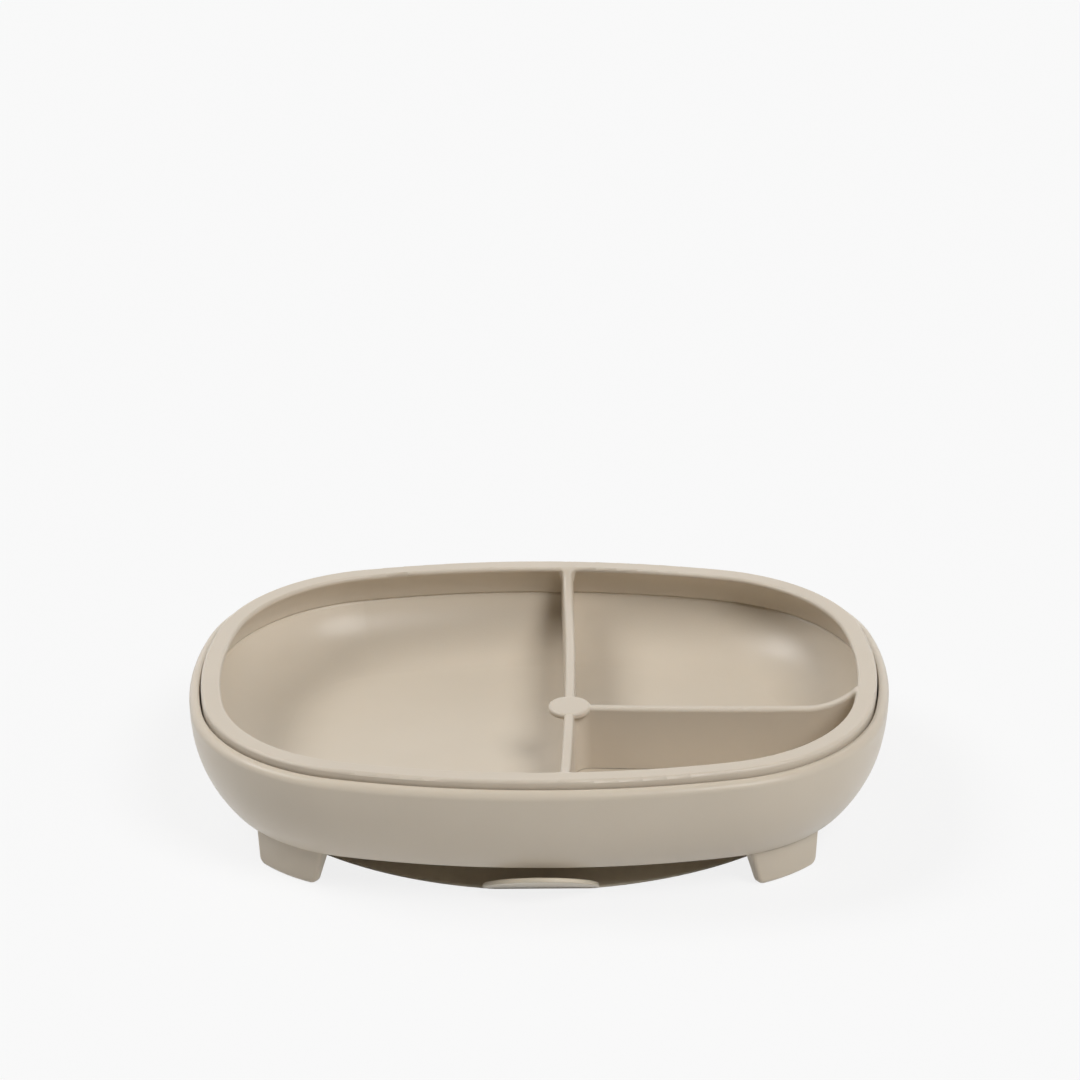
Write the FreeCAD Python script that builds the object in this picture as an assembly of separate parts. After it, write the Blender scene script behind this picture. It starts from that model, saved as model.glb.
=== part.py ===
import FreeCAD
import Part
import math
import os
from FreeCAD import Vector

# Baby suction plate: a deep oval bowl on four feet, a lift-out ring with a T-shaped divider,
# and an oval suction cup with a pull tab under the bowl.
# Millimetres, +Z up, origin on the table under the middle of the plate, -Y towards the tab.
# Sections are given as (inset, height): inset runs inward from the outline, height up from the table.

# Outline of the plate
plate_length = 225.0
plate_width = 171.6
end_radius = 152.0
corner_radius = 63.0
side_radius = 268.0

# Heights of the bowl
foot_height = 12.4
floor_height = 18.0
ledge_height = 34.3
rim_height = 43.3

# Section of the bowl
rim_wall = 3.35
rim_outer_round = 2.3
rim_inner_round = 0.4
widest_drop = 2.5
side_arc_radius = 43.7
bottom_edge_round = 1.2
bowl_top_inset = 4.9
bowl_arc_radius = 27.5
seam_bevel = 0.65
core_inset = 34.0

# Feet
foot_direction = 53.4
foot_top_width = 27.2
foot_bottom_width = 23.2
foot_bottom_shift = 1.2
foot_outer_inset = 11.3
foot_top_depth = 4.6
foot_bottom_depth = 2.9
foot_draft_inset = 0.3
foot_edge_round = 1.5
foot_back_round = 0.9
foot_corner_round = 2.8
foot_root = 2.0

# Ring of the insert
ring_gap = 0.5
ring_rise = 2.7
ring_inner_inset = 10.2
ring_outer_round = 1.0
ring_nose_radius = 1.0
lip_arc_radius = 18.0

# Divider bars
bar_thickness = 3.2
bar_dip = 6.6
bar_draft = 1.0
bar_edge_round = 1.0
bar_end_radius = 23.0
bar_crest_radius = 3.0
bar_end_fillet = 1.6
bar_foot_fillet = 0.4
bar_flare_height = 6.0
bar_corner_fillet = 5.0
bar_floor_gap = 0.2
long_bar_x = 8.0
long_bar_bow = 2.0
cross_bar_y = -17.0
cross_bar_bow = 1.2
hub_radius = 6.85
hub_thickness = 2.2
hub_rise = 0.2
hub_edge_round = 0.9
ring_overlap = 0.6

# Suction cup
cup_length = 184.0
cup_width = 134.2
cup_end_radius = 50.0
cup_edge_height = 0.8
cup_edge_round = 0.3
cup_neck_inset = 26.0
cup_wall = 1.8
cup_cavity_height = 6.5
deck_inset = 30.0
deck_height = 2.4
deck_clearance = 0.3
cup_core_inset = 34.0

# Pull tab
tab_width = 36.4
tab_reach = 17.0
tab_thickness = 1.45
tab_angle = 35.0
tab_turn = 0.9
tab_shift = 1.3
tab_fold_inset = 1.4
tab_edge_round = 0.5
tab_root = 1.6

# Heights that follow from the sizes above
ring_top = rim_height + ring_rise
bar_top = ring_top - bar_dip


def circle_crossings(c1, r1, c2, r2):
    """Both points that lie r1 from c1 and r2 from c2."""
    dx = c2[0] - c1[0]
    dy = c2[1] - c1[1]
    apart = math.hypot(dx, dy)
    along = (r1 * r1 - r2 * r2 + apart * apart) / (2 * apart)
    across = math.sqrt(r1 * r1 - along * along)
    foot = (c1[0] + dx * along / apart, c1[1] + dy * along / apart)
    side = (-dy * across / apart, dx * across / apart)
    return (foot[0] + side[0], foot[1] + side[1]), (foot[0] - side[0], foot[1] - side[1])


def full_loop(quarter):
    """Repeat the arcs of the first quarter round the oval.

    Each arc is given back as (centre x, centre y, radius, start, sweep).
    """
    end, side = quarter[0], quarter[-1]
    corners = quarter[1:-1]
    arcs = []
    for turn in (0, 180):
        way = 1 if turn == 0 else -1
        arcs.append((way * end[0], 0.0, end[2], turn - end[4], 2 * end[4]))
        for cx, cy, radius, start, stop in corners:
            arcs.append((way * cx, way * cy, radius, turn + start, stop - start))
        arcs.append((0.0, way * side[1], side[2], turn + side[3], 2 * (90 - side[3])))
        for cx, cy, radius, start, stop in reversed(corners):
            arcs.append((-way * cx, way * cy, radius, turn + 180 - stop, stop - start))
    return arcs


def three_arc_oval(length, width, r_end, r_corner, r_side):
    """Oval with gentle ends and sides joined by tighter corners, all tangent."""
    end = (length / 2 - r_end, 0.0)
    side = (0.0, width / 2 - r_side)
    corner = max(circle_crossings(end, r_end - r_corner, side, r_side - r_corner), key=sum)
    first = math.degrees(math.atan2(corner[1] - end[1], corner[0] - end[0]))
    last = math.degrees(math.atan2(corner[1] - side[1], corner[0] - side[0]))
    return full_loop([(end[0], 0.0, r_end, 0.0, first),
                      (corner[0], corner[1], r_corner, first, last),
                      (0.0, side[1], r_side, last, 90.0)])


def two_arc_oval(length, width, r_end):
    """Oval of four arcs: two round ends and two flatter sides, all tangent."""
    a, b = length / 2, width / 2
    r_side = (a * a + b * b - 2 * a * r_end) / (2 * (b - r_end))
    joint = math.degrees(math.atan2(r_side - b, a - r_end))
    return full_loop([(a - r_end, 0.0, r_end, 0.0, joint), (0.0, b - r_side, r_side, joint, 90.0)])


def edges_along(path, place):
    """Edges of a path, where a plain point ends a line and a pair is the middle and end of an arc."""
    edges = []
    here = place(path[0])
    for step in path[1:]:
        if isinstance(step[0], tuple):
            middle, end = place(step[0]), place(step[1])
            edges.append(Part.Arc(here, middle, end).toShape())
        else:
            end = place(step)
            edges.append(Part.LineSegment(here, end).toShape())
        here = end
    return edges


def swept_ring(arcs, path):
    """Solid of a closed section carried along every arc of an oval."""
    pieces = []
    for cx, cy, radius, start, sweep in arcs:
        edges = edges_along(path, lambda p: Vector(radius - p[0], 0, p[1]))
        face = Part.Face(Part.Wire(edges))
        piece = face.revolve(Vector(0, 0, 0), Vector(0, 0, 1), sweep)
        piece.rotate(Vector(0, 0, 0), Vector(0, 0, 1), start)
        piece.translate(Vector(cx, cy, 0))
        pieces.append(piece)
    return pieces


def oval_prism(arcs, inset, low, high):
    """Upright prism inside an oval, from one height to another."""
    edges = []
    for cx, cy, radius, start, sweep in arcs:
        circle = Part.Circle(Vector(cx, cy, low), Vector(0, 0, 1), radius - inset)
        edges.append(Part.Arc(circle, math.radians(start), math.radians(start + sweep)).toShape())
    return Part.Face(Part.Wire(edges)).extrude(Vector(0, 0, high - low))


def joined(pieces):
    return pieces[0].multiFuse(pieces[1:]).removeSplitter()


def corner_arc(centre, radius, start, stop):
    """Middle and end of an arc about a centre, for a section path."""
    points = []
    for angle in ((start + stop) / 2, stop):
        turn = math.radians(angle)
        points.append((centre[0] + radius * math.cos(turn), centre[1] + radius * math.sin(turn)))
    return points[0], points[1]


def arc_through(centre, start, stop):
    """Middle and end of the shorter arc about a centre between two points."""
    radius = math.dist(centre, start)
    first = math.atan2(start[1] - centre[1], start[0] - centre[0])
    turn = math.atan2(stop[1] - centre[1], stop[0] - centre[0]) - first
    turn = (turn + math.pi) % (2 * math.pi) - math.pi
    half = first + turn / 2
    return (centre[0] + radius * math.cos(half), centre[1] + radius * math.sin(half)), stop


plate_outline = three_arc_oval(plate_length, plate_width, end_radius, corner_radius, side_radius)
cup_outline = two_arc_oval(cup_length, cup_width, cup_end_radius)

# Bowl surface: one arc, tangent to the floor
bowl_seam_height = ledge_height - seam_bevel
bowl_centre_height = floor_height + bowl_arc_radius
seam_depth = bowl_centre_height - bowl_seam_height
floor_inset = bowl_top_inset + math.sqrt(bowl_arc_radius ** 2 - seam_depth ** 2)
bowl_centre = (floor_inset, bowl_centre_height)


def bowl_section():
    widest = rim_height - widest_drop
    side_centre = (side_arc_radius, widest)
    round_height = foot_height + bottom_edge_round
    reach = side_arc_radius - bottom_edge_round
    round_inset = side_arc_radius - math.sqrt(reach ** 2 - (widest - round_height) ** 2)
    round_centre = (round_inset, round_height)
    share = side_arc_radius / reach
    side_end = (side_centre[0] + (round_inset - side_centre[0]) * share,
                side_centre[1] + (round_height - side_centre[1]) * share)
    outer_centre = (rim_outer_round, rim_height - rim_outer_round)
    inner_centre = (rim_wall - rim_inner_round, rim_height - rim_inner_round)
    return [(rim_outer_round, rim_height),
            corner_arc(outer_centre, rim_outer_round, 90, 180),
            (0.0, widest),
            arc_through(side_centre, (0.0, widest), side_end),
            arc_through(round_centre, side_end, (round_inset, foot_height)),
            (core_inset, foot_height),
            (core_inset, floor_height),
            (floor_inset, floor_height),
            arc_through(bowl_centre, (floor_inset, floor_height), (bowl_top_inset, bowl_seam_height)),
            (bowl_top_inset - seam_bevel, ledge_height),
            (rim_wall, ledge_height),
            (rim_wall, inner_centre[1]),
            corner_arc(inner_centre, rim_inner_round, 0, 90),
            (rim_outer_round, rim_height)]


def foot_rim(solid, radius, low_inset, top_inset):
    """Edges round the outer or the inner face of a foot, apart from those at its top."""
    top = foot_height + foot_root
    chosen = []
    for edge in solid.Edges:
        middle = edge.valueAt((edge.FirstParameter + edge.LastParameter) / 2)
        inset = radius - math.hypot(middle.x, middle.y)
        expected = low_inset + (top_inset - low_inset) * middle.z / top
        if middle.z < top - 0.01 and abs(inset - expected) < 0.05:
            chosen.append(edge)
    return chosen


def foot_side(low):
    """One side of a foot's face that leans out from its low half width, up to its rounded bottom corner.

    Gives the half width at the top, the height and half width where the round starts, the half width
    of the round's centre, and the lean in degrees.
    """
    slope = (foot_top_width / 2 - low) / foot_height
    lean = math.atan(slope)
    touch_height = foot_corner_round * (1 - math.sin(lean))
    centre = low + slope * foot_corner_round - foot_corner_round / math.cos(lean)
    return (low + slope * (foot_height + foot_root), touch_height, low + slope * touch_height,
            centre, math.degrees(lean))


def foot(corner, direction, end_side):
    """One foot under a corner arc, facing outward along a direction in degrees.

    The end side is 1 or -1, for the side of the foot that lies towards the plate's end. It leans less.
    """
    cx, cy, radius = corner[:3]
    top = foot_height + foot_root
    low_outer = foot_outer_inset + foot_draft_inset
    band_path = [(foot_outer_inset, top),
                 (low_outer, 0.0),
                 (low_outer + foot_bottom_depth, 0.0),
                 (foot_outer_inset + foot_top_depth, top),
                 (foot_outer_inset, top)]
    half_span = math.degrees(foot_top_width / radius)
    band = swept_ring([(0.0, 0.0, radius, -half_span, 2 * half_span)], band_path)[0]
    low_left = foot_bottom_width / 2 - foot_bottom_shift * end_side
    low_right = foot_bottom_width / 2 + foot_bottom_shift * end_side
    left_top, left_height, left_touch, left_centre, left_turn = foot_side(low_left)
    right_top, right_height, right_touch, right_centre, right_turn = foot_side(low_right)
    face_path = [(-left_top, top),
                 (-left_touch, left_height),
                 corner_arc((-left_centre, foot_corner_round), foot_corner_round, 180 + left_turn, 270),
                 (right_centre, 0.0),
                 corner_arc((right_centre, foot_corner_round), foot_corner_round, 270, 360 - right_turn),
                 (right_top, top),
                 (-left_top, top)]
    inside = radius - foot_outer_inset - 2 * foot_top_depth
    edges = edges_along(face_path, lambda p: Vector(inside, p[0], p[1]))
    block = Part.Face(Part.Wire(edges)).extrude(Vector(radius - inside, 0, 0))
    solid = band.common(block)
    outer_rim = foot_rim(solid, radius, low_outer, foot_outer_inset)
    solid = solid.makeFillet(foot_edge_round, outer_rim)
    inner_rim = foot_rim(solid, radius, low_outer + foot_bottom_depth, foot_outer_inset + foot_top_depth)
    solid = solid.makeFillet(foot_back_round, inner_rim)
    solid.rotate(Vector(0, 0, 0), Vector(0, 0, 1), direction)
    solid.translate(Vector(cx, cy, 0))
    return solid


def plate_body():
    pieces = swept_ring(plate_outline, bowl_section())
    pieces.append(oval_prism(plate_outline, core_inset, foot_height, floor_height))
    for arc in plate_outline:
        cx, cy = arc[:2]
        if cx and cy:
            quadrant = {(1, 1): foot_direction, (-1, 1): 180 - foot_direction,
                        (-1, -1): 180 + foot_direction, (1, -1): 360 - foot_direction}
            way = (math.copysign(1, cx), math.copysign(1, cy))
            pieces.append(foot(arc, quadrant[way], -way[0] * way[1]))
    body = joined(pieces)
    pocket = oval_prism(cup_outline, deck_inset - deck_clearance, foot_height - foot_root,
                        foot_height + deck_height)
    return body.cut(pocket)


def ring_section():
    outer = rim_wall + ring_gap
    outer_centre = (outer + ring_outer_round, ring_top - ring_outer_round)
    nose_centre = (ring_inner_inset - ring_nose_radius, ring_top - ring_nose_radius)
    foot_point = (bowl_top_inset, ledge_height + seam_bevel)
    lip_centre = max(circle_crossings(foot_point, lip_arc_radius, nose_centre,
                                      lip_arc_radius + ring_nose_radius), key=lambda p: p[0])
    share = ring_nose_radius / (lip_arc_radius + ring_nose_radius)
    touch = (nose_centre[0] + (lip_centre[0] - nose_centre[0]) * share,
             nose_centre[1] + (lip_centre[1] - nose_centre[1]) * share)
    return [(outer, ledge_height),
            (outer, outer_centre[1]),
            corner_arc(outer_centre, ring_outer_round, 180, 90),
            (nose_centre[0], ring_top),
            arc_through(nose_centre, (nose_centre[0], ring_top), touch),
            arc_through(lip_centre, touch, foot_point),
            (bowl_top_inset - seam_bevel, ledge_height),
            (outer, ledge_height)]


def bar_space():
    """Room for the bars: inside the ring and just clear of the bowl and its floor."""
    low = floor_height + bar_floor_gap
    reach = bowl_arc_radius - bar_floor_gap
    wall_inset = floor_inset - math.sqrt(reach ** 2 - (bowl_centre_height - ledge_height) ** 2)
    outer = rim_wall + ring_gap
    path = [(core_inset, low),
            (floor_inset, low),
            arc_through(bowl_centre, (floor_inset, low), (wall_inset, ledge_height)),
            (outer + ring_overlap, ledge_height),
            (outer + ring_outer_round, ring_top),
            (core_inset, ring_top),
            (core_inset, low)]
    pieces = swept_ring(plate_outline, path)
    pieces.append(oval_prism(plate_outline, core_inset, low, ring_top))
    return joined(pieces)


# The bars' centre lines are shallow arcs
long_half = plate_width / 2
long_bow_radius = (long_half ** 2 + long_bar_bow ** 2) / (2 * long_bar_bow)
long_bow_x = long_bar_x + long_bar_bow - long_bow_radius
hub_x = long_bow_x + math.sqrt(long_bow_radius ** 2 - cross_bar_y ** 2)
cross_end_x = plate_length / 2
cross_half = (cross_end_x - hub_x) / 2
cross_bow_radius = (cross_half ** 2 + cross_bar_bow ** 2) / (2 * cross_bar_bow)
cross_mid_x = hub_x + cross_half
cross_bow_y = cross_bar_y - cross_bar_bow + cross_bow_radius


def fillet_arc(first, second, radius, near):
    """Fillet tangent to two circles, as its start on the first, its middle and its end on the second.

    A circle is (centre, radius, side), with side 1 for a fillet outside it and -1 for one inside it.
    """
    reach = [circle[1] + circle[2] * radius for circle in (first, second)]
    both = circle_crossings(first[0], reach[0], second[0], reach[1])
    centre = min(both, key=lambda point: math.dist(point, near))
    touch = []
    for circle, distance in zip((first, second), reach):
        share = circle[1] / distance
        touch.append((circle[0][0] + (centre[0] - circle[0][0]) * share,
                      circle[0][1] + (centre[1] - circle[0][1]) * share))
    middle, end = arc_through(centre, touch[0], touch[1])
    return touch[0], middle, end


def bar_plan(height):
    """Outline of both bars at one height, with fillets where they meet each other and the ring."""
    half = bar_thickness / 2 + (bar_top - height) * math.tan(math.radians(bar_draft))
    share = max(0.0, 1 - (ring_top - height) / bar_flare_height)
    end_fillet = bar_foot_fillet + (bar_end_fillet - bar_foot_fillet) * share
    long_centre = (long_bow_x, 0.0)
    cross_centre = (cross_mid_x, cross_bow_y)
    left = (long_centre, long_bow_radius - half, -1)
    right = (long_centre, long_bow_radius + half, 1)
    front = (cross_centre, cross_bow_radius + half, 1)
    back = (cross_centre, cross_bow_radius - half, -1)
    side_centre = plate_width / 2 - side_radius
    back_wall = ((0.0, side_centre), side_radius - ring_inner_inset, -1)
    front_wall = ((0.0, -side_centre), side_radius - ring_inner_inset, -1)
    end_wall = ((plate_length / 2 - end_radius, 0.0), end_radius - ring_inner_inset, -1)
    front_end = (long_bar_x, -long_half)
    back_end = (long_bar_x, long_half)
    meeting = (hub_x, cross_bar_y)
    cross_end = (plate_length / 2, cross_bar_y)
    front_left = fillet_arc(left, front_wall, end_fillet, front_end)
    front_right = fillet_arc(front_wall, right, end_fillet, front_end)
    front_corner = fillet_arc(right, front, bar_corner_fillet, meeting)
    end_front = fillet_arc(front, end_wall, end_fillet, cross_end)
    end_back = fillet_arc(end_wall, back, end_fillet, cross_end)
    back_corner = fillet_arc(back, right, bar_corner_fillet, meeting)
    back_right = fillet_arc(right, back_wall, end_fillet, back_end)
    back_left = fillet_arc(back_wall, left, end_fillet, back_end)
    path = [(front_left[2][0], -long_half),
            (front_right[0][0], -long_half),
            front_right[0],
            front_right[1:],
            arc_through(long_centre, front_right[2], front_corner[0]),
            front_corner[1:],
            arc_through(cross_centre, front_corner[2], end_front[0]),
            end_front[1:],
            (plate_length / 2, end_front[2][1]),
            (plate_length / 2, end_back[0][1]),
            end_back[0],
            end_back[1:],
            arc_through(cross_centre, end_back[2], back_corner[0]),
            back_corner[1:],
            arc_through(long_centre, back_corner[2], back_right[0]),
            back_right[1:],
            (back_right[2][0], long_half),
            (back_left[0][0], long_half),
            back_left[0],
            back_left[1:],
            arc_through(long_centre, back_left[2], front_left[0]),
            front_left[1:],
            (front_left[2][0], -long_half)]
    return Part.Wire(edges_along(path, lambda p: Vector(p[0], p[1], height)))


def dip_profile(start, stop, ramp_start):
    """Space above a bar: level in the middle, then a hollow and a rounded crest up to the ring."""
    slant = math.degrees(math.acos(1 - bar_dip / (bar_end_radius + bar_crest_radius)))
    hollow_run = bar_end_radius * math.sin(math.radians(slant))
    run = hollow_run + bar_crest_radius * math.sin(math.radians(slant))
    hollow_height = bar_top + bar_end_radius
    crest_height = ring_top - bar_crest_radius
    above = ring_top + bar_dip
    if ramp_start:
        path = [(start, ring_top),
                corner_arc((start, crest_height), bar_crest_radius, 90, 90 - slant),
                corner_arc((start + run, hollow_height), bar_end_radius, 270 - slant, 270)]
    else:
        path = [(start, bar_top)]
    path += [(stop - run, bar_top),
             corner_arc((stop - run, hollow_height), bar_end_radius, 270, 270 + slant),
             corner_arc((stop, crest_height), bar_crest_radius, 90 + slant, 90),
             (stop, above),
             (start, above),
             path[0]]
    return path


def ring_crest_y():
    return plate_width / 2 - ring_inner_inset + ring_nose_radius


def ring_crest_x(y):
    centre_x = plate_length / 2 - end_radius
    return centre_x + math.sqrt((end_radius - ring_inner_inset + ring_nose_radius) ** 2 - y ** 2)


def divider():
    plans = [bar_plan(height) for height in (floor_height, ring_top - bar_flare_height, ring_top)]
    slab = Part.makeLoft(plans[:2], True, True).fuse(Part.makeLoft(plans[1:], True, True)).removeSplitter()
    near = hub_x - hub_radius
    width = 2 * hub_radius
    long_path = dip_profile(-ring_crest_y(), ring_crest_y(), True)
    long_edges = edges_along(long_path, lambda p: Vector(near, p[0], p[1]))
    long_cut = Part.Face(Part.Wire(long_edges)).extrude(Vector(width, 0, 0))
    cross_path = dip_profile(near + width, ring_crest_x(cross_bar_y), False)
    front = cross_bar_y - width
    cross_edges = edges_along(cross_path, lambda p: Vector(p[0], front, p[1]))
    cross_cut = Part.Face(Part.Wire(cross_edges)).extrude(Vector(0, 2 * width, 0))
    slab = slab.cut(long_cut.fuse(cross_cut).removeSplitter()).removeSplitter()
    return slab


def top_edges(solid):
    """Edges where the bars' sides meet their dipped tops."""
    count = {}
    for face in solid.Faces:
        u0, u1, v0, v1 = face.ParameterRange
        normal = face.normalAt((u0 + u1) / 2, (v0 + v1) / 2)
        middle = face.valueAt((u0 + u1) / 2, (v0 + v1) / 2)
        if normal.z > 0.3 and middle.z < ring_top - 0.01:
            for edge in face.Edges:
                key = edge.hashCode()
                count.setdefault(key, []).append(edge)
    chosen = []
    for same in count.values():
        edge = same[0]
        box = edge.BoundBox
        level_at_ring = box.ZLength < 0.01 and box.ZMin > ring_top - 0.01
        if len(same) == 1 and not level_at_ring:
            chosen.append(edge)
    return chosen


def hub():
    base = Vector(hub_x, cross_bar_y, bar_top + hub_rise - hub_thickness)
    disc = Part.makeCylinder(hub_radius, hub_thickness, base)
    rims = [edge for edge in disc.Edges if isinstance(edge.Curve, Part.Circle)]
    return disc.makeFillet(hub_edge_round, rims)


def divider_insert():
    slab = divider()
    slab = slab.makeFillet(bar_edge_round, top_edges(slab))
    bars = slab.common(bar_space())
    ring = joined(swept_ring(plate_outline, ring_section()))
    return ring.fuse([bars, hub()]).removeSplitter()


def cup_section():
    shoulder = foot_height
    edge_low = (cup_edge_round, cup_edge_round)
    edge_high = (cup_edge_round, cup_edge_height - cup_edge_round)
    run = cup_neck_inset - cup_edge_round
    rise = shoulder - cup_edge_height
    skirt_radius = (run ** 2 + rise ** 2) / (2 * rise)
    skirt_centre = (cup_edge_round, cup_edge_height + skirt_radius)
    under_radius = skirt_radius + cup_wall
    roof_inset = skirt_centre[0] + math.sqrt(under_radius ** 2 - (skirt_centre[1] - cup_cavity_height) ** 2)
    lip_inset = skirt_centre[0] + math.sqrt(under_radius ** 2 - skirt_centre[1] ** 2)
    return [(cup_edge_round, 0.0),
            corner_arc(edge_low, cup_edge_round, 270, 180),
            (0.0, edge_high[1]),
            corner_arc(edge_high, cup_edge_round, 180, 90),
            arc_through(skirt_centre, (cup_edge_round, cup_edge_height), (cup_neck_inset, shoulder)),
            (deck_inset, shoulder),
            (deck_inset, shoulder + deck_height),
            (cup_core_inset, shoulder + deck_height),
            (cup_core_inset, cup_cavity_height),
            (roof_inset, cup_cavity_height),
            arc_through(skirt_centre, (roof_inset, cup_cavity_height), (lip_inset, 0.0)),
            (cup_edge_round, 0.0)]


def tab_placed(shape):
    """Lay a shape drawn flat at the tab's fold line in the tab's slanting plane at the cup's front."""
    shape.rotate(Vector(0, 0, 0), Vector(1, 0, 0), -tab_angle)
    shape.rotate(Vector(0, 0, 0), Vector(0, 0, 1), tab_turn)
    shape.translate(Vector(tab_shift, tab_fold_inset - cup_width / 2, cup_edge_round / 2))
    return shape


def under_tab():
    """Space in front of the fold line and under the tab, where the cup's edge is turned up into the tab."""
    corner = Vector(-tab_width, -tab_reach, -tab_reach)
    return tab_placed(Part.makeBox(2 * tab_width, tab_reach, tab_reach, corner))


def pull_tab():
    """Half-oval flap that rises outward from the cup's front edge."""
    ellipse = Part.Ellipse(Vector(0, 0, 0), tab_width / 2, tab_reach)
    rim = Part.Arc(ellipse, math.pi, 2 * math.pi).toShape()
    left = Vector(-tab_width / 2, 0, 0)
    right = Vector(tab_width / 2, 0, 0)
    inward = Vector(0, tab_root, 0)
    edges = [rim, Part.LineSegment(right, right + inward).toShape(),
             Part.LineSegment(right + inward, left + inward).toShape(),
             Part.LineSegment(left + inward, left).toShape()]
    flap = Part.Face(Part.Wire(edges)).extrude(Vector(0, 0, tab_thickness))
    rims = [edge for edge in flap.Edges if isinstance(edge.Curve, Part.Ellipse)]
    flap = tab_placed(flap.makeFillet(tab_edge_round, rims))
    span = cup_length / 2
    above_table = Part.makeBox(2 * span, 2 * span, foot_height, Vector(-span, -2 * span, 0))
    return flap.common(above_table)


def suction_base():
    pieces = swept_ring(cup_outline, cup_section())
    pieces.append(oval_prism(cup_outline, cup_core_inset, cup_cavity_height, foot_height + deck_height))
    cup = joined(pieces).cut(under_tab())
    return cup.fuse(pull_tab()).removeSplitter()


def solid_of(shape):
    """The single solid in a shape."""
    if len(shape.Solids) != 1:
        raise ValueError("expected one solid, found %d" % len(shape.Solids))
    return shape.Solids[0]


if __name__ == "__main__":
    os.makedirs("parts", exist_ok=True)
    nodes = {"plate_body": plate_body, "divider_insert": divider_insert, "suction_base": suction_base}
    for name, make in nodes.items():
        solid = solid_of(make())
        volume = round(solid.Volume / 1000, 1)
        print(name, "valid", solid.isValid(), "faces", len(solid.Faces), "volume", volume, "cm3")
        solid.exportStep("parts/%s.step" % name)
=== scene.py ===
"""Looks of the baby suction plate: matte beige silicone, studio floor and light, and the camera."""
import math

import bpy
from mathutils import Matrix, Vector

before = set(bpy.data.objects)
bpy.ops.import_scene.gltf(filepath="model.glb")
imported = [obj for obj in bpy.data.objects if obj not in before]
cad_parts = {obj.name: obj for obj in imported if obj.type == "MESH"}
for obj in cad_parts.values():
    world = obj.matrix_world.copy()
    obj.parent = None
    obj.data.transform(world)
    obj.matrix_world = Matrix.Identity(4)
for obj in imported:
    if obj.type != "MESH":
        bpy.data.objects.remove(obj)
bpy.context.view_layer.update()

# Silicones: piece, material, colour in sRGB from 0 to 255, roughness, shift of the noises in metres
SILICONES = (
    ("plate_body", "bowl silicone", (206, 194, 176), 0.335, 1.0),
    ("divider_insert", "insert silicone", (208, 196, 179), 0.38, 2.0),
    ("suction_base", "base silicone", (213, 202, 182), 0.42, 3.0),
)

# Gloss; share of the light that soaks in, its depth in metres, and how much of that depth red, green and
# blue reach; and the powdery sheen
SILICONE_IOR = 1.41
SOAK_WEIGHT = 0.10
SOAK_DEPTH = 0.0015
SOAK_REACH = (1.0, 0.7, 0.5)
POWDER_WEIGHT = 0.12
POWDER_ROUGHNESS = 0.5

# Noises, each with its scale per metre and its detail: clouds of darker and lighter colour, smudges of
# smoother and rougher surface, and waves and grain as bumps with a strength and a height in metres
CLOUD_SCALE, CLOUD_DETAIL = 28, 3
CLOUD_DARK, CLOUD_LIGHT = 0.98, 1.015
SMUDGE_SCALE, SMUDGE_DETAIL = 60, 4
SMUDGE_RAGGEDNESS = 0.6
SMUDGE_CHANGE = 0.04
WAVE_SCALE, WAVE_DETAIL = 22, 1
WAVE_STRENGTH, WAVE_HEIGHT = 0.05, 0.004
GRAIN_SCALE, GRAIN_DETAIL = 1600, 2
GRAIN_STRENGTH, GRAIN_HEIGHT = 0.10, 0.0002

# The part of a noise's values that is used, as the rest is rare
NOISE_LOW, NOISE_HIGH = 0.3, 0.7

# Background level that the camera sees; how much of the floor's real light and shade shows in it, and how
# pale the floor is for that and for the light that it throws back; and the floor's reach each way in metres
BACKDROP_LEVEL = 0.95
SHADE_SHARE = 0.12
PAPER_LEVEL = 0.94
FLOOR_BOUNCE = 0.80
FLOOR_REACH = 6.0

# Sky light: level at the horizon and overhead, and the height from which it is full, as a sine
SKY_LOW = 0.0
SKY_TOP = 0.02
SKY_FULL = 0.9

# White surroundings seen only in the silicone's gloss: level at the horizon, and the heights between which
# it fades out, as sines
SHEEN_LEVEL = 1.35
SHEEN_FROM = 0.35
SHEEN_TO = 0.75

# Soft suns: name, heading and height in degrees, spread in degrees, level
SUNS = (
    ("left", -98, 50, 26, 1.4),
    ("right", 45, 50, 26, 1.75),
    ("right low", 80, 20, 60, 0.46),
    ("back", 180, 50, 60, 0.12),
    ("back left", -135, 50, 40, 0.41),
)

# Camera: place, nearest and farthest sight in metres, turns in degrees, lens and sensor in millimetres
CAMERA_PLACE = (0.01985, -1.0539, 0.5517)
CAMERA_NEAR = 0.05
CAMERA_FAR = 20
CAMERA_TILT = 66.327
CAMERA_HEADING = 1.046
CAMERA_ROLL = -0.425
CAMERA_LENS = 120.7
CAMERA_SENSOR = 36

# Where the node editor shows the nodes: from one to the next, and how far left of the shader they start
NODE_STEP = 220
NODE_ROOM = 3000


def grey(level):
    """Grey with alpha from a linear level."""
    return (level, level, level, 1.0)


def linear(colour):
    """Linear colour with alpha from sRGB values."""
    channels = []
    for value in colour:
        share = value / 255
        channels.append(share / 12.92 if share <= 0.04045 else ((share + 0.055) / 1.055) ** 2.4)
    return (*channels, 1.0)


def node(tree, kind, **settings):
    """New node to the right of the others, with its settings."""
    made = tree.nodes.new(kind)
    made.location = (NODE_STEP * len(tree.nodes) - NODE_ROOM, 0)
    for key, value in settings.items():
        setattr(made, key, value)
    return made


def noise(tree, source, scale, detail, raggedness=0.5):
    """Noise that follows a place."""
    made = node(tree, "ShaderNodeTexNoise")
    made.inputs["Scale"].default_value = scale
    made.inputs["Detail"].default_value = detail
    made.inputs["Roughness"].default_value = raggedness
    tree.links.new(source, made.inputs["Vector"])
    return made.outputs["Fac"]


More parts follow.
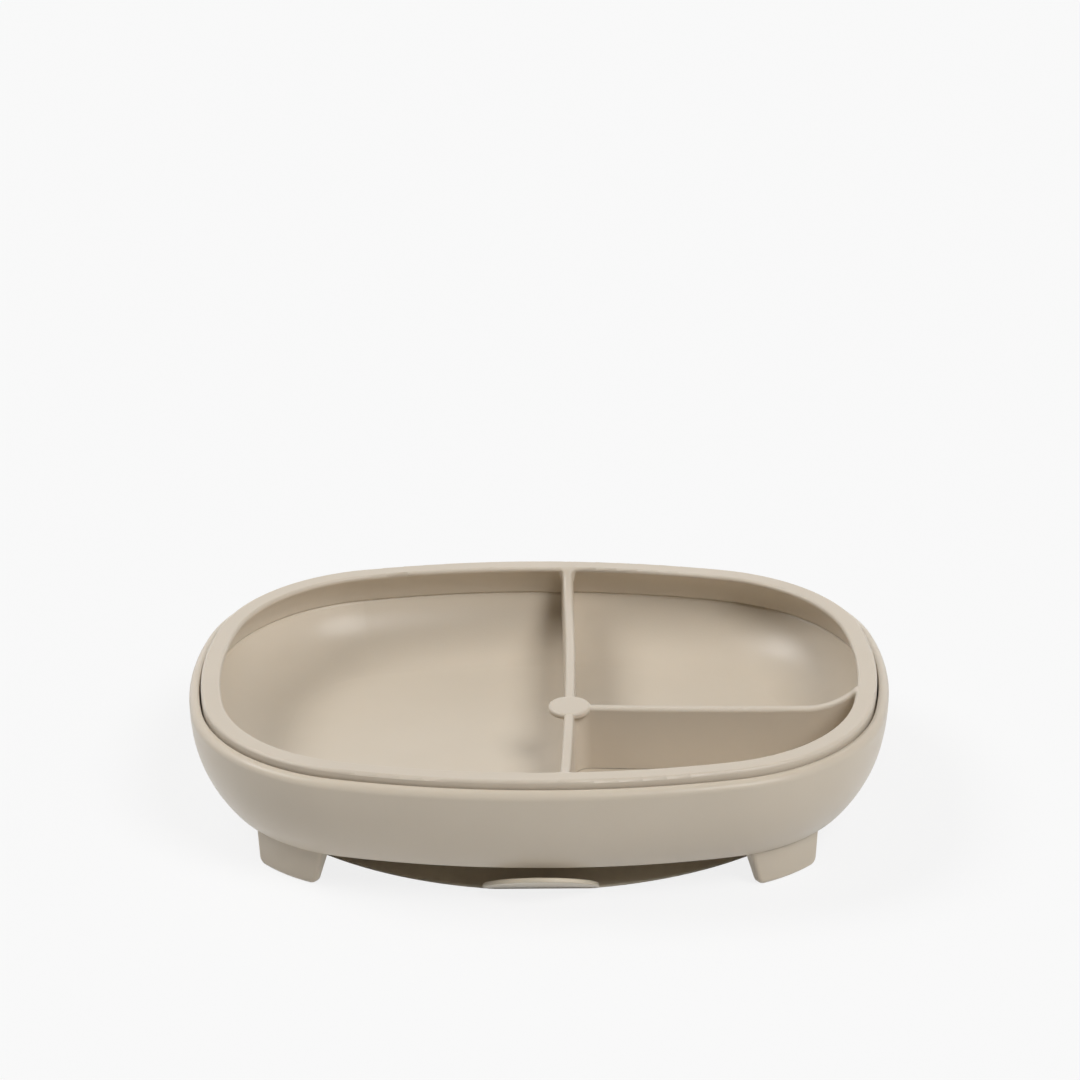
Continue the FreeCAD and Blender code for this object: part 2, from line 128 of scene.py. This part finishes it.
def span(tree, value, low, high, start=NOISE_LOW, stop=NOISE_HIGH):
    """Map a value from one range to another."""
    made = node(tree, "ShaderNodeMapRange")
    made.inputs["From Min"].default_value = start
    made.inputs["From Max"].default_value = stop
    made.inputs["To Min"].default_value = low
    made.inputs["To Max"].default_value = high
    tree.links.new(value, made.inputs["Value"])
    return made.outputs["Result"]


def bump(tree, height, strength, distance, normal=None):
    """Bump from a height, on top of another one where it is given."""
    made = node(tree, "ShaderNodeBump")
    made.inputs["Strength"].default_value = strength
    made.inputs["Distance"].default_value = distance
    tree.links.new(height, made.inputs["Height"])
    if normal is not None:
        tree.links.new(normal, made.inputs["Normal"])
    return made.outputs["Normal"]


def mixed(tree, share, first, second):
    """Mix of two shaders; the share is a number or another node's output."""
    made = node(tree, "ShaderNodeMixShader")
    if isinstance(share, bpy.types.NodeSocket):
        tree.links.new(share, made.inputs["Fac"])
    else:
        made.inputs["Fac"].default_value = share
    tree.links.new(first, made.inputs[1])
    tree.links.new(second, made.inputs[2])
    return made.outputs["Shader"]


def combined(tree, operation, first, second):
    """Sum, product or the like of two values."""
    made = node(tree, "ShaderNodeMath", operation=operation)
    tree.links.new(first, made.inputs[0])
    tree.links.new(second, made.inputs[1])
    return made.outputs["Value"]


def silicone(name, colour, roughness, shift):
    """Moulded silicone: soft satin, a faint cloudiness, a powdery grain and very slight waviness."""
    material = bpy.data.materials.new(name)
    material.use_nodes = True
    tree = material.node_tree
    shader = tree.nodes["Principled BSDF"]
    coordinates = node(tree, "ShaderNodeTexCoord")
    mapping = node(tree, "ShaderNodeMapping")
    mapping.inputs["Location"].default_value = (shift, 2 * shift, 3 * shift)
    tree.links.new(coordinates.outputs["Object"], mapping.inputs["Vector"])
    place = mapping.outputs["Vector"]

    cloud = noise(tree, place, CLOUD_SCALE, CLOUD_DETAIL)
    tint = node(tree, "ShaderNodeHueSaturation")
    tint.inputs["Color"].default_value = linear(colour)
    tree.links.new(span(tree, cloud, CLOUD_DARK, CLOUD_LIGHT), tint.inputs["Value"])
    tree.links.new(tint.outputs["Color"], shader.inputs["Base Color"])

    smudge = noise(tree, place, SMUDGE_SCALE, SMUDGE_DETAIL, SMUDGE_RAGGEDNESS)
    satin = span(tree, smudge, roughness - SMUDGE_CHANGE, roughness + SMUDGE_CHANGE)
    tree.links.new(satin, shader.inputs["Roughness"])

    wave = bump(tree, noise(tree, place, WAVE_SCALE, WAVE_DETAIL), WAVE_STRENGTH, WAVE_HEIGHT)
    grain = bump(tree, noise(tree, place, GRAIN_SCALE, GRAIN_DETAIL), GRAIN_STRENGTH, GRAIN_HEIGHT, wave)
    tree.links.new(grain, shader.inputs["Normal"])

    shader.inputs["IOR"].default_value = SILICONE_IOR
    shader.inputs["Subsurface Weight"].default_value = SOAK_WEIGHT
    shader.inputs["Subsurface Radius"].default_value = SOAK_REACH
    shader.inputs["Subsurface Scale"].default_value = SOAK_DEPTH
    shader.inputs["Sheen Weight"].default_value = POWDER_WEIGHT
    shader.inputs["Sheen Roughness"].default_value = POWDER_ROUGHNESS
    return material


def dress(name, material):
    """Put a material into every slot of a piece."""
    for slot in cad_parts[name].material_slots:
        slot.material = material


def floor_material():
    """White to the camera with a share of the real light and shade, and greyer to light that bounces."""
    material = bpy.data.materials.new("floor")
    material.use_nodes = True
    tree = material.node_tree
    tree.nodes.clear()
    glow = node(tree, "ShaderNodeEmission")
    glow.inputs["Color"].default_value = grey(1)
    glow.inputs["Strength"].default_value = BACKDROP_LEVEL
    paper = node(tree, "ShaderNodeBsdfDiffuse")
    paper.inputs["Color"].default_value = grey(PAPER_LEVEL)
    seen = mixed(tree, SHADE_SHARE, glow.outputs["Emission"], paper.outputs["BSDF"])
    bounce = node(tree, "ShaderNodeBsdfDiffuse")
    bounce.inputs["Color"].default_value = grey(FLOOR_BOUNCE)
    path = node(tree, "ShaderNodeLightPath")
    direct = combined(tree, "MAXIMUM", path.outputs["Is Camera Ray"], path.outputs["Is Glossy Ray"])
    output = node(tree, "ShaderNodeOutputMaterial")
    tree.links.new(mixed(tree, direct, bounce.outputs["BSDF"], seen), output.inputs["Surface"])
    return material


def make_floor():
    """Square floor, far larger than the picture."""
    mesh = bpy.data.meshes.new("floor")
    corners = [(across * FLOOR_REACH, along * FLOOR_REACH, 0)
               for across, along in ((-1, -1), (1, -1), (1, 1), (-1, 1))]
    mesh.from_pydata(corners, [], [(0, 1, 2, 3)])
    mesh.materials.append(floor_material())
    floor = bpy.data.objects.new("floor", mesh)
    bpy.context.scene.collection.objects.link(floor)


def make_sun(name, heading, height, spread, level):
    """Soft sun from a heading, 0 from the camera's side and 90 from the right, and a height."""
    data = bpy.data.lights.new(name, "SUN")
    data.energy = level
    data.angle = math.radians(spread)
    lamp = bpy.data.objects.new(name, data)
    turn, rise = math.radians(heading), math.radians(height)
    toward = Vector((math.cos(rise) * math.sin(turn), -math.cos(rise) * math.cos(turn), math.sin(rise)))
    lamp.location = toward
    lamp.rotation_euler = toward.to_track_quat("Z", "Y").to_euler()
    bpy.context.scene.collection.objects.link(lamp)


def make_world():
    """White to the camera; to the plate a weak sky and, in its gloss, low white surroundings."""
    world = bpy.data.worlds.new("studio")
    world.use_nodes = True
    tree = world.node_tree
    tree.nodes.clear()
    path = node(tree, "ShaderNodeLightPath")
    coordinates = node(tree, "ShaderNodeTexCoord")
    split = node(tree, "ShaderNodeSeparateXYZ")
    tree.links.new(coordinates.outputs["Generated"], split.inputs["Vector"])
    height = split.outputs["Z"]
    sky = span(tree, height, SKY_LOW, SKY_TOP, 0.0, SKY_FULL)
    walls = span(tree, height, SHEEN_LEVEL, 0.0, SHEEN_FROM, SHEEN_TO)
    gloss = combined(tree, "MULTIPLY", walls, path.outputs["Is Glossy Ray"])
    lit = node(tree, "ShaderNodeBackground")
    lit.inputs["Color"].default_value = grey(1)
    tree.links.new(combined(tree, "ADD", sky, gloss), lit.inputs["Strength"])
    seen = node(tree, "ShaderNodeBackground")
    seen.inputs["Color"].default_value = grey(1)
    seen.inputs["Strength"].default_value = BACKDROP_LEVEL
    shown = mixed(tree, path.outputs["Is Camera Ray"], lit.outputs["Background"], seen.outputs["Background"])
    output = node(tree, "ShaderNodeOutputWorld")
    tree.links.new(shown, output.inputs["Surface"])
    bpy.context.scene.world = world


def make_camera():
    """Camera as fitted to the photo's outlines."""
    data = bpy.data.cameras.new("camera")
    data.lens = CAMERA_LENS
    data.sensor_width = CAMERA_SENSOR
    data.clip_start = CAMERA_NEAR
    data.clip_end = CAMERA_FAR
    camera = bpy.data.objects.new("camera", data)
    heading = Matrix.Rotation(math.radians(CAMERA_HEADING), 4, "Z")
    tilt = Matrix.Rotation(math.radians(CAMERA_TILT), 4, "X")
    roll = Matrix.Rotation(math.radians(CAMERA_ROLL), 4, "Z")
    camera.matrix_world = Matrix.Translation(CAMERA_PLACE) @ heading @ tilt @ roll
    bpy.context.scene.collection.objects.link(camera)
    bpy.context.scene.camera = camera


for piece, material_name, colour, roughness, shift in SILICONES:
    dress(piece, silicone(material_name, colour, roughness, shift))
make_floor()
make_world()
for settings in SUNS:
    make_sun(*settings)
make_camera()
bpy.context.scene.view_settings.view_transform = "Standard"
